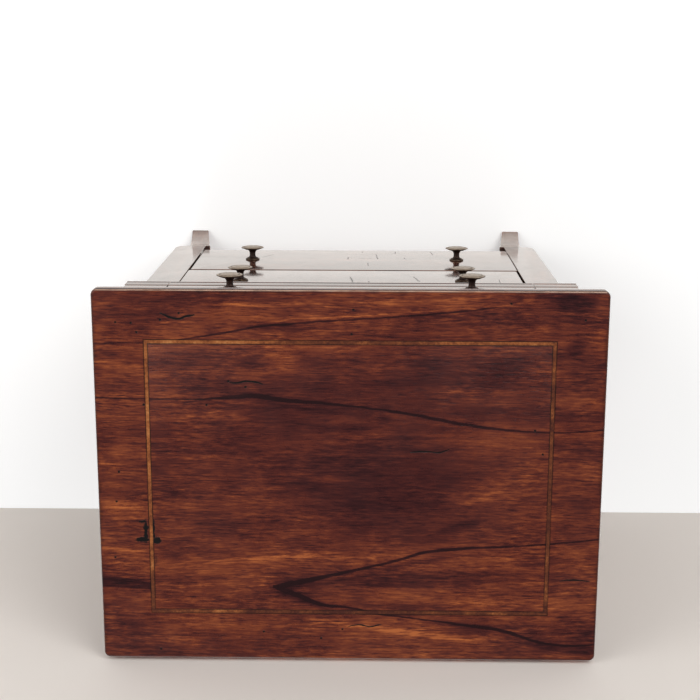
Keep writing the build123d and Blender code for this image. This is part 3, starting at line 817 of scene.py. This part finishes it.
def stringing_wood():
    """Boxwood stringing, bright along the front and the photograph's left, dull elsewhere."""
    material, t, shader = new_material("boxwood_stringing")
    place = object_place(t)
    u, v = top_coordinates(t)
    flat = t.node("CombineXYZ", {0: u, 1: v}).outputs[0]
    tone = t.step(t.stretched(place, (90, 90, 90), 4, 0.65), 0.25, 0.75, 0.33, 0.92)
    fine = t.calc("SUBTRACT", t.noise(place, 700.0, 3, 0.6), 0.5)
    tone = t.calc("MULTIPLY_ADD", fine, 0.8, tone)
    for centre, radius, change in STRING_FADES:
        tone = t.calc("MULTIPLY_ADD", blot(t, flat, centre, radius, STRING_RAG), change, tone)
    colour = t.ramp(t.calc("ADD", tone, 0.0, clamp=True), STRING_TONES)
    edge = t.step(stringing_line(t), STRING_WIDTH * 0.30, STRING_WIDTH * 0.52)
    colour = t.mix(t.calc("MULTIPLY", edge, 0.75), colour, GRIME)
    set_shader(t, shader, colour, 0.45, bump(t, fine, 0.3, 0.1 * MM), Specular_IOR_Level=0.2)
    return material


def brass(name):
    """Aged brass: rubbed pale on the rims and nearly black in the hollows."""
    material, t, shader = new_material(name)
    place = object_place(t)
    patina = t.node("Attribute", attribute_name="patina").outputs["Fac"]
    cloud = t.noise(place, 420.0, 4, 0.65)
    speck = t.step(t.noise(place, 1500.0, 3, 0.6), 0.52, 0.70)
    dark = t.swing(cloud, 1.0, patina)
    dark = t.calc("MULTIPLY_ADD", speck, 0.12, dark, clamp=True)
    colour = t.ramp(dark, BRASS_TONES)
    rough = t.step(dark, 0.0, 1.0, 0.30, 0.52)
    metal = t.step(dark, 0.45, 1.0, 1.0, 0.55)
    t.feed(shader.inputs["Metallic"], metal)
    set_shader(t, shader, colour, rough, bump(t, cloud, 0.25, 0.1 * MM))
    return material


def iron(name):
    """Dark iron with a bloom of rust."""
    material, t, shader = new_material(name)
    place = object_place(t)
    rust = t.step(t.noise(place, 600.0, 4, 0.65), 0.42, 0.62)
    colour = t.mix(rust, BARE_IRON, RUST)
    t.feed(shader.inputs["Metallic"], t.calc("SUBTRACT", 0.9, t.calc("MULTIPLY", rust, 0.8)))
    set_shader(t, shader, colour, t.step(rust, 0, 1, 0.42, 0.85), bump(t, rust, 0.5, 0.1 * MM))
    return material


def merged_copy(source, name):
    """A copy of a CAD mesh whose loose triangles are joined into whole faces."""
    work = bmesh.new()
    work.from_mesh(source.data)
    bmesh.ops.remove_doubles(work, verts=work.verts, dist=0.001 * MM)
    flat = math.radians(0.2)
    bmesh.ops.dissolve_limit(work, angle_limit=flat, verts=work.verts, edges=work.edges)
    mesh = bpy.data.meshes.new(name)
    work.to_mesh(mesh)
    work.free()
    mesh.materials.clear()
    return mesh


def linked(mesh, name, material):
    """A mesh as a new object in the scene, smooth between its sharp edges."""
    piece = bpy.data.objects.new(name, mesh)
    bpy.context.scene.collection.objects.link(piece)
    mesh.materials.append(material)
    mesh.shade_smooth()
    mesh.set_sharp_from_angle(angle=SHARP_ANGLE)
    return piece


def placed(mesh, name, node, material):
    """A new piece that stands for a CAD node and rides on its body."""
    piece = linked(mesh, name, material)
    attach(piece, frame["nodes"][node]["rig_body"])
    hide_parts(node)
    return piece


def bevelled(piece, width):
    """A bevel on every sharp edge, so that each arris catches the light."""
    arris = piece.modifiers.new("arris", "BEVEL")
    arris.width = width
    arris.segments = 2
    arris.limit_method = "ANGLE"
    arris.angle_limit = SHARP_ANGLE
    arris.harden_normals = False


def finished_board(node, material, width=FINE_ARRIS):
    """A CAD board with its arrises taken off."""
    name = f"{node}_finished"
    mesh = merged_copy(frame["nodes"][node], name)
    bevelled(placed(mesh, name, node, material), width)


# Hairline cracks in the polish of the recessed fronts: (x, z) start, (x, z) end, half width
LOWER_CRACKS = [
    ((-10, 96), (-10, 112), 0.55),
    ((-2, 79), (-14, 79), 0.5),
    ((-16, 58), (-17, 84), 0.6),
    ((-30, 46), (-30, 58), 0.5),
    ((-36, 74), (-37, 82), 0.6),
    ((-56, 46), (-57, 64), 0.6),
    ((58, 62), (66, 76), 0.6),
    ((4, 72), (4, 84), 0.5),
    ((-6, 46), (-6, 54), 0.4),
]
MIDDLE_CRACKS = [
    ((-20, 182), (-20, 200), 0.6),
    ((-40, 150), (-44, 172), 0.7),
    ((2, 150), (-2, 186), 0.7),
    ((-96, 160), (-96, 175), 0.5),
    ((-11, 168), (-11, 176), 0.5),
    ((70, 140), (66, 150), 0.5),
]
FRONT_CRACKS = {"lower_drawer_front": LOWER_CRACKS, "middle_drawer_front": MIDDLE_CRACKS}

DRAWERS = ("top_drawer", "middle_drawer", "lower_drawer")

# Polished and raw nodes with the axis along which the grain of each runs
POLISHED = {
    "side_panel_left": "z", "side_panel_right": "z", "front_post_left": "z", "front_post_right": "z",
    "frieze_post_left": "z", "frieze_post_right": "z",
    "frieze_return_left": "y", "frieze_return_right": "y",
    "cove_moulding_front": "x", "cove_moulding_left": "y", "cove_moulding_right": "y",
    "upper_rail": "x", "base_rail": "x",
    "front_foot_left": "z", "front_foot_right": "z", "rear_foot_left": "z", "rear_foot_right": "z",
    "top_drawer_front": "x", "middle_drawer_front": "x", "lower_drawer_front": "x",
}
RAW = {
    "top_rail_front": "x", "top_rail_back": "x", "lower_rail": "x", "bottom_board": "x",
    "upper_runner_left": "y", "upper_runner_right": "y",
    "lower_runner_left": "y", "lower_runner_right": "y",
    "bottom_guides": "y", "drawer_stops": "x", "glue_blocks": "z", "back_panel": "x",
}
for drawer_name in DRAWERS:
    RAW |= {
        f"{drawer_name}_side_left": "y", f"{drawer_name}_side_right": "y",
        f"{drawer_name}_back": "x", f"{drawer_name}_bottom": "x",
    }
# Raw nodes that have gone dark
AGED = ("back_panel", "glue_blocks")


def all_boards():
    """Every wooden piece of the case and the drawers, each with its own cut of wood."""
    for number, (node, axis) in enumerate(POLISHED.items()):
        cracks = FRONT_CRACKS.get(node, ())
        gloss = MIRROR_GLOSS if "drawer" in node else CASE_GLOSS
        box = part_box(node)
        seed = POLISHED_SEED + number
        foot = "foot" in node
        material = polished_wood(f"polished_{node}", axis, seed, box, cracks, foot, gloss)
        finished_board(node, material, ROUND_ARRIS if foot else FINE_ARRIS)
    for number, (node, axis) in enumerate(RAW.items()):
        tones = BACK_TONES if node in AGED else INNER_TONES
        material = raw_wood(f"raw_{node}", axis, RAW_SEED + number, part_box(node), tones)
        finished_board(node, material, SOFT_ARRIS)
    finished_board("top_board", top_wood(), FINE_ARRIS)
    string = stringing_wood()
    for side in STRING_RUNS:
        finished_board(f"stringing_{side}", string, FINE_ARRIS / 2)


# Two small steps along the foot of the frieze, as (reach in front, top of the step)
FRIEZE_STEPS = ((0.2 * MM, 11.0 * MM), (0.45 * MM, 1.6 * MM))


def step_outline():
    """The strip's outline in (y, z) from the foot of the frieze's face.

    It goes out at the foot, back at each step with a rounded shoulder, and up to the face.
    """
    (shallow, tall), (deep, short) = FRIEZE_STEPS
    angles = np.radians(np.linspace(0, 90, 5))
    drop = 1 - np.sin(angles)
    foot = [(0.0, 0.0), (-deep, 0.0), (-deep, short - shallow)]
    lower = np.column_stack([-deep + (deep - shallow) * (1 - drop), short - shallow * drop])
    upper = np.column_stack([-shallow * np.cos(angles), tall - shallow * drop])
    return np.vstack([foot, lower, upper])


def frieze_moulding():
    """A stepped strip along the lower edge of the frieze, on both blocks and the drawer."""
    body_of = {"frieze_post_left": "case", "frieze_post_right": "case", "top_drawer_front": "top_drawer"}
    (_, tall), (deep, _) = FRIEZE_STEPS
    outline = step_outline()
    count = len(outline)
    walls = [(i, (i + 1) % count, count + (i + 1) % count, count + i) for i in range(count)]
    caps = [tuple(range(count))[::-1], tuple(range(count, 2 * count))]
    for number, (node, body) in enumerate(body_of.items()):
        low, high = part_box(node)
        grid = np.zeros((2, count, 3))
        grid[:, :, 0] = np.array([low.x, high.x])[:, None]
        grid[:, :, 1] = low.y + outline[None, :, 0]
        grid[:, :, 2] = low.z + outline[None, :, 1]
        name = f"frieze_moulding_{node}"
        mesh = bpy.data.meshes.new(name)
        mesh.from_pydata(grid.reshape(-1, 3), [], walls + caps)
        work = bmesh.new()
        work.from_mesh(mesh)
        bmesh.ops.recalc_face_normals(work, faces=work.faces)
        work.to_mesh(mesh)
        work.free()
        box = (Vector((low.x, low.y - deep, low.z)), Vector((high.x, low.y, low.z + tall)))
        material = polished_wood(f"polished_{name}", "x", MOULDING_SEED + number, box)
        piece = linked(mesh, name, material)
        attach(piece, body)


# Knobs, in millimetres: sizes, faces round the axis, and the thread on the shank
KNOB_RADIUS = 7.9
KNOB_HEIGHT = 9.5
CROWN_RISE = 0.65
SHANK_RADIUS = 1.5
SHANK_END = -12.4
KNOB_TURNS = 64
SHANK_PITCH = 0.7
THREAD_DEPTH = 0.16
THREAD_START = -1.0


def arc(centre, radius, start, end, count):
    """Points on a circle's arc, from one angle in degrees to another."""
    angles = np.radians(np.linspace(start, end, count))
    return np.column_stack([centre[0] + radius * np.cos(angles), centre[1] + radius * np.sin(angles)])


def knob_profile():
    """The turned outline as (radius, height above the drawer front), and its patina.

    It goes from the shank's end to the middle of the crown in straight runs and
    arcs: a flange with a rounded edge, a ring, a hollow stem, a flare into the
    dish and a thin rim under a shallow crown with one turned line.
    """
    crown_radius = (KNOB_RADIUS**2 + CROWN_RISE**2) / (2 * CROWN_RISE)
    crown_middle = (0, KNOB_HEIGHT - crown_radius)
    spread = math.degrees(math.asin((KNOB_RADIUS - 0.25) / crown_radius))
    shank = np.column_stack([np.full(60, SHANK_RADIUS), np.linspace(SHANK_END, -0.02, 60)])
    # Each run of the outline with how dark its patina is
    pieces = [
        (np.array([[0.0, SHANK_END]]), 0.6),
        (shank, 0.6),
        (arc((4.6, 0.3), 0.3, -90, 0, 5), 0.75),
        (arc((4.55, 0.55), 0.35, 0, 90, 6), 0.55),
        (np.array([[4.05, 0.86]]), 1.0),
        (arc((3.55, 1.2), 0.3, -60, 90, 8), 0.6),
        (arc((3.8, 3.25), 1.75, 262, 180, 14), 0.85),
        (np.array([[2.05, 3.9]]), 0.85),
        (arc((4.65, 4.6), 2.6, 180, 96, 16), 0.85),
        (np.array([[5.4, 7.42], [6.4, 7.86], [7.3, 8.32]]), 0.60),
        (arc((7.66, 8.62), 0.24, -70, 75, 9), 0.62),
        (arc(crown_middle, crown_radius, 90 - spread, 90 - spread * 0.80, 4), 0.22),
        (arc((6.2, 9.06), 0.12, 60, -180, 5), 0.70),
        (arc(crown_middle, crown_radius, 90 - spread * 0.72, 90, 12), 0.20),
    ]
    points = np.vstack([p for p, _ in pieces])
    patina = np.concatenate([np.full(len(p), dark) for p, dark in pieces])
    points[-1, 0] = 0.0
    return points, patina


def knob_mesh(name, centre):
    """A knob turned about the Y axis, with a screw thread on its shank.

    P(s, a) = centre + (r(s) cos a, -h(s), r(s) sin a), where behind the front
    r(s) is less by a thread's depth times half of 1 + cos(2 pi h / pitch - a).
    """
    points, patina = knob_profile()
    angles = np.linspace(0, 2 * math.pi, KNOB_TURNS, endpoint=False)
    radius = np.repeat(points[:, :1], KNOB_TURNS, axis=1)
    height = np.repeat(points[:, 1:], KNOB_TURNS, axis=1)
    cut = THREAD_DEPTH * 0.5 * (1 + np.cos(2 * math.pi * height / SHANK_PITCH - angles))
    radius = np.where((height < THREAD_START) & (radius > 0), radius - cut, radius)
    grid = np.stack([radius * np.cos(angles), -height, radius * np.sin(angles)], axis=-1) * MM
    grid += np.array(centre)
    rows, columns = radius.shape
    i, j = np.meshgrid(np.arange(rows - 1), np.arange(columns), indexing="ij")
    nxt = (j + 1) % columns
    corners = [i * columns + j, (i + 1) * columns + j, (i + 1) * columns + nxt, i * columns + nxt]
    faces = np.stack(corners, axis=-1)
    mesh = bpy.data.meshes.new(name)
    mesh.from_pydata(grid.reshape(-1, 3), [], faces.reshape(-1, 4))
    shade = mesh.attributes.new("patina", "FLOAT", "POINT")
    shade.data.foreach_set("value", np.repeat(patina, columns).astype(np.float32))
    work = bmesh.new()
    work.from_mesh(mesh)
    bmesh.ops.remove_doubles(work, verts=work.verts, dist=0.002 * MM)
    bmesh.ops.recalc_face_normals(work, faces=work.faces)
    work.to_mesh(mesh)
    work.free()
    return mesh


def knobs():
    """All six knobs, each turned round its CAD knob's axis."""
    material = brass("aged_brass")
    for drawer in DRAWERS:
        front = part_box(f"{drawer}_front")[0].y
        for side in SIDES:
            node = f"{drawer}_knob_{side}"
            low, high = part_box(node)
            centre = ((low.x + high.x) / 2, front, (low.z + high.z) / 2)
            placed(knob_mesh(f"{node}_turned", centre), f"{node}_turned", node, material)


def hardware():
    """Nuts, screws and nails, in iron."""
    material = iron("old_iron")
    for drawer in DRAWERS:
        finished_board(f"{drawer}_knob_nuts", material, FINE_ARRIS)
    for node in ("top_screws", "back_nails"):
        finished_board(node, material, FINE_ARRIS / 2)


def camera():
    """The camera at the photograph's place, with its own tilt, turn and roll."""
    forward = Vector((math.sin(CAMERA_TURN), 0, -math.cos(CAMERA_TURN)))
    right = Vector((-math.cos(CAMERA_TURN), 0, -math.sin(CAMERA_TURN)))
    up = Vector((0, -1, 0))
    look = math.cos(CAMERA_TILT) * forward - math.sin(CAMERA_TILT) * up
    above = math.sin(CAMERA_TILT) * forward + math.cos(CAMERA_TILT) * up
    across = math.cos(CAMERA_ROLL) * right + math.sin(CAMERA_ROLL) * above
    above = -math.sin(CAMERA_ROLL) * right + math.cos(CAMERA_ROLL) * above
    data = bpy.data.cameras.new("camera")
    data.lens = CAMERA_LENS
    data.sensor_width = SENSOR_WIDTH
    data.clip_end = 50
    lens = bpy.data.objects.new("camera", data)
    turn = Matrix((across, above, -look)).transposed().to_4x4()
    lens.matrix_world = Matrix.Translation(CAMERA_PLACE) @ turn
    bpy.context.scene.collection.objects.link(lens)
    bpy.context.scene.camera = lens


# The stage's sizes in metres, its colours, and how bright the room is away from the camera
STAGE_HALF = 6.0
BACKDROP_HEIGHT = 5.0
BACKDROP_GAP = 2 * MM
WHITE = (1, 1, 1, 1)
FLOOR_WHITE = (0.94, 0.935, 0.925, 1)
FLOOR_MIRRORED = (1.0, 0.955, 0.91, 1)
FLOOR_LIFT = 0.26
BACKDROP_PALE = (0.86, 0.80, 0.745, 1)
AMBIENT = 0.45

# Lamps: name, place and size in metres, and watts
LAMP_TARGET = (0, 0, 0.2)
LAMPS = [
    ("key_light", (-0.75, -0.95, 1.35), 1.1, 11.0),
    ("fill_light", (1.05, -0.55, 1.15), 1.1, 7.0),
    ("back_light", (0.5, 1.6, 1.0), 1.2, 6.0),
]


def seen_sharply(t):
    """The light path's outputs, and 1 for a ray that leaves a mirror or glass."""
    path = t.node("LightPath").outputs
    sharp = t.calc("MAXIMUM", path["Is Glossy Ray"], path["Is Transmission Ray"])
    return path, sharp


def plane(name, corners, material):
    """A single face that is part of the stage and not of the chest."""
    mesh = bpy.data.meshes.new(name)
    mesh.from_pydata(corners, [], [(0, 1, 2, 3)])
    mesh.materials.append(material)
    made = bpy.data.objects.new(name, mesh)
    bpy.context.scene.collection.objects.link(made)


def stage_floor():
    """A white floor that keeps the chest's shadow."""
    material, t = empty_material("floor_white")
    path, sharp = seen_sharply(t)
    matt = t.node("BsdfDiffuse", {"Color": FLOOR_WHITE}).outputs[0]
    lift = t.calc("MULTIPLY", path["Is Camera Ray"], FLOOR_LIFT)
    lift = t.node("Emission", {"Color": WHITE, "Strength": lift}).outputs[0]
    lit = t.node("AddShader", {0: matt, 1: lift}).outputs[0]
    glow = t.node("Emission", {"Color": FLOOR_MIRRORED, "Strength": 1.0}).outputs[0]
    shown = t.node("MixShader", {0: sharp, 1: lit, 2: glow}).outputs[0]
    t.feed(t.node("OutputMaterial").inputs["Surface"], shown)
    half = STAGE_HALF
    corners = [(-half, -half, 0), (half, -half, 0), (half, half, 0), (-half, half, 0)]
    plane("floor", corners, material)


def stage_backdrop():
    """A pale board behind the back, seen only by the camera and only from the front."""
    material, t = empty_material("backdrop_pale")
    path = t.node("LightPath").outputs
    behind = t.node("NewGeometry").outputs["Backfacing"]
    shown = t.calc("MULTIPLY", path["Is Camera Ray"], t.calc("SUBTRACT", 1.0, behind))
    matt = t.node("BsdfDiffuse", {"Color": BACKDROP_PALE}).outputs[0]
    clear = t.node("BsdfTransparent").outputs[0]
    mixed = t.node("MixShader", {0: shown, 1: clear, 2: matt}).outputs[0]
    t.feed(t.node("OutputMaterial").inputs["Surface"], mixed)
    y = cad_box[1][1] + BACKDROP_GAP
    half, height = STAGE_HALF, BACKDROP_HEIGHT
    corners = [(-half, y, 0), (half, y, 0), (half, y, height), (-half, y, height)]
    plane("backdrop", corners, material)


def world():
    """White to the camera, and a softer room with a dim ceiling to everything else."""
    made = bpy.data.worlds.new("studio")
    made.use_nodes = True
    made.node_tree.nodes.clear()
    t = Tree(made.node_tree)
    path, sharp = seen_sharply(t)
    height = t.node("SeparateXYZ", {0: t.node("TexCoord").outputs["Generated"]}).outputs[2]
    mirrored = t.step(height, 0.05, 0.75, 0.75, 0.04)
    soft = t.calc("MULTIPLY_ADD", sharp, t.calc("SUBTRACT", mirrored, AMBIENT), AMBIENT)
    strength = t.calc("MAXIMUM", soft, path["Is Camera Ray"])
    light = t.node("Background", {"Color": WHITE, "Strength": strength}).outputs[0]
    t.feed(t.node("OutputWorld").inputs["Surface"], light)
    bpy.context.scene.world = made


def lamp(name, place, size, watts):
    """A round area lamp at a place, turned towards the chest."""
    data = bpy.data.lights.new(name, "AREA")
    data.shape = "DISK"
    data.size = size
    data.energy = watts
    made = bpy.data.objects.new(name, data)
    aim = (Vector(LAMP_TARGET) - Vector(place)).to_track_quat("-Z", "Y")
    made.matrix_world = Matrix.Translation(place) @ aim.to_matrix().to_4x4()
    bpy.context.scene.collection.objects.link(made)


def lights():
    """Two large soft lamps in front, to the left and right, and a weak one behind."""
    for settings in LAMPS:
        lamp(*settings)


all_boards()
frieze_moulding()
knobs()
hardware()
camera()
stage_floor()
stage_backdrop()
world()
lights()
bpy.context.scene.view_settings.view_transform = "Standard"
